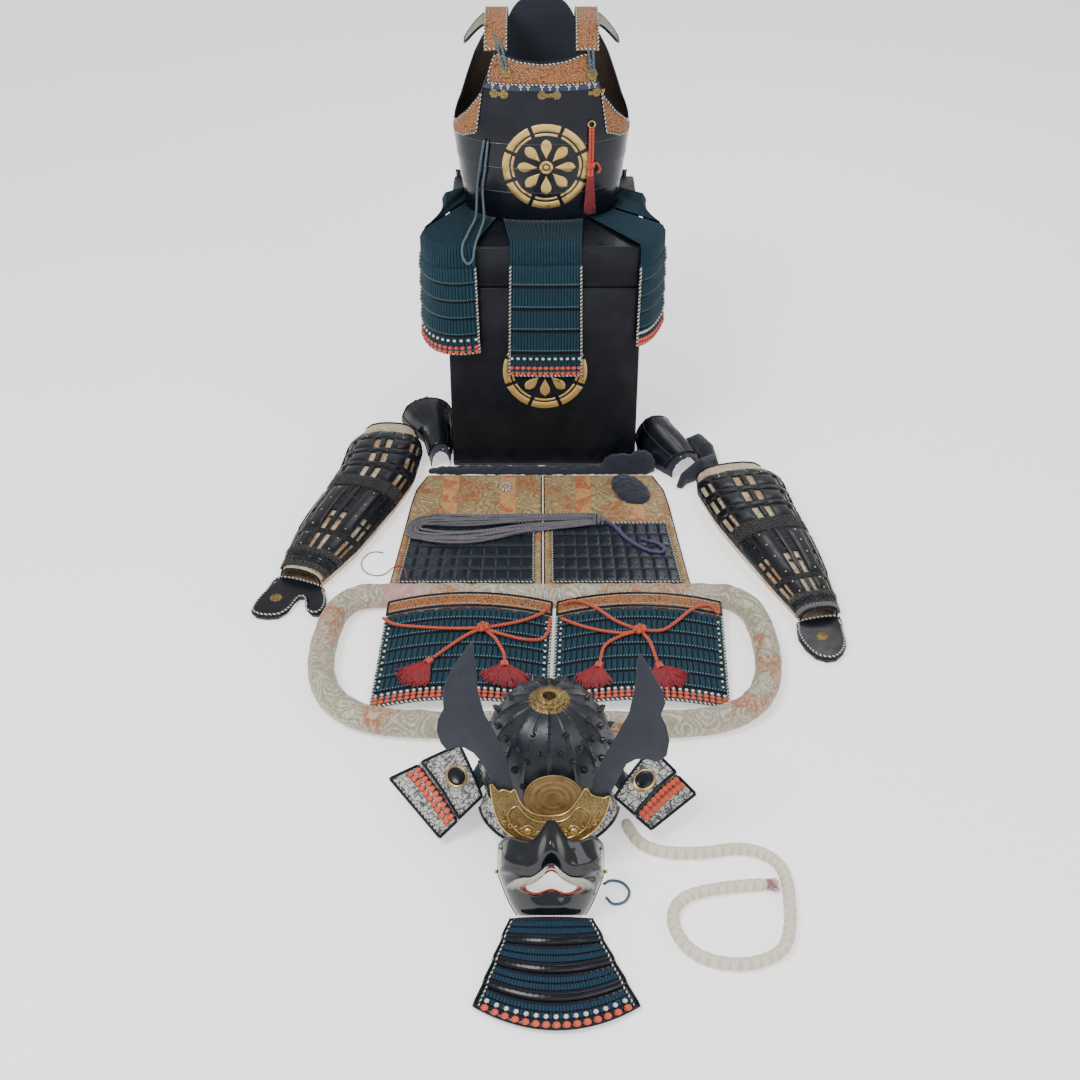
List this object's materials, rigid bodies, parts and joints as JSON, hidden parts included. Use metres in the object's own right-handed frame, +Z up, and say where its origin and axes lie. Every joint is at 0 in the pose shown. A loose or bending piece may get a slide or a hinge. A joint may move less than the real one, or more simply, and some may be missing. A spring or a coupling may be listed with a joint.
{
  "type": "samurai armour set on its armour chest",
  "caption": "Samurai armour: cuirass with laced skirts on a black chest, and helmet, mask, sleeves, thigh and shoulder guards laid out on the floor",
  "frame": {"origin": "On the floor, at the middle of the layout's width and depth, below its centre", "axes": "+X is to the viewer's right, +Y goes back from the mask towards the chest, +Z is up"},
  "size_m": [1.156, 1.9509, 0.944],
  "materials": {
    "lacquer_black": "black lacquer over rawhide, iron or wood, polished",
    "iron_blue": "blue-black lacquered iron, satin",
    "gilt": "gilt copper, chased, dulled by age",
    "leather_print": "tan leather with a small printed pattern",
    "leather_white": "white leather with a speckled print",
    "lacing_blue": "close rows of flat silk braid, matt",
    "brocade": "woven silk brocade, soft sheen",
    "navy_cloth": "indigo hemp cloth, matt",
    "mail": "blackened mail and small plates, satin",
    "cord_orange": "round silk braid, matt",
    "silk_crimson": "loose silk strands, matt",
    "cord_mauve": "flat folded silk cord, matt",
    "cord_white": "padded twisted cotton cord, matt",
    "cord_slate": "round silk braid, matt"
  },
  "bodies": {
    "root": {"chest_body": "lacquer_black", "chest_lid": "lacquer_black", "do_front": "lacquer_black", "do_back": "lacquer_black", "muna_ita_leather": "leather_print", "collar": "navy_cloth", "watagami_left": "leather_print", "watagami_right": "leather_print", "breast_ring_cord": "cord_orange", "breast_tassel": "silk_crimson", "side_cord": "cord_slate", "kusazuri_front": "lacing_blue", "kusazuri_front_left": "lacing_blue", "kusazuri_front_right": "lacing_blue", "kusazuri_side_right": "lacing_blue", "kusazuri_side_left": "lacing_blue", "kusazuri_back_right": "lacing_blue", "kusazuri_back_left": "lacing_blue", "kote_left_cloth": "brocade", "kote_left_plates": "mail", "kote_right_cloth": "brocade", "kote_right_plates": "mail", "tekko_left": "lacquer_black", "tekko_right": "lacquer_black", "suneate_left_lining": "navy_cloth", "suneate_left_plate": "lacquer_black", "suneate_right_lining": "navy_cloth", "suneate_right_plate": "lacquer_black", "haidate_left_cloth": "brocade", "haidate_left_plates": "lacquer_black", "haidate_right_cloth": "brocade", "haidate_right_plates": "lacquer_black", "haidate_belt": "navy_cloth", "haidate_belt_end": "navy_cloth", "mauve_hank": "cord_mauve", "mauve_tail": "cord_mauve", "loose_string": "silk_crimson", "brocade_belt_left": "brocade", "brocade_belt_right": "brocade", "sode_left": "lacing_blue", "sode_left_cap": "leather_print", "sode_right": "lacing_blue", "sode_right_cap": "leather_print", "sode_cord_left": "cord_orange", "sode_cord_right": "cord_orange", "sode_tassel_1": "silk_crimson", "sode_tassel_2": "silk_crimson", "sode_tassel_3": "silk_crimson", "sode_tassel_4": "silk_crimson", "kabuto_bowl": "iron_blue", "kabuto_peak": "leather_white", "kabuto_shikoro": "lacquer_black", "fukigaeshi_left": "leather_white", "fukigaeshi_right": "leather_white", "kuwagata_left": "iron_blue", "kuwagata_right": "iron_blue", "kuwagata_base": "gilt", "menpo": "lacquer_black", "yodare_kake": "lacing_blue", "white_cord": "cord_white"}
  },
  "joints": []
}
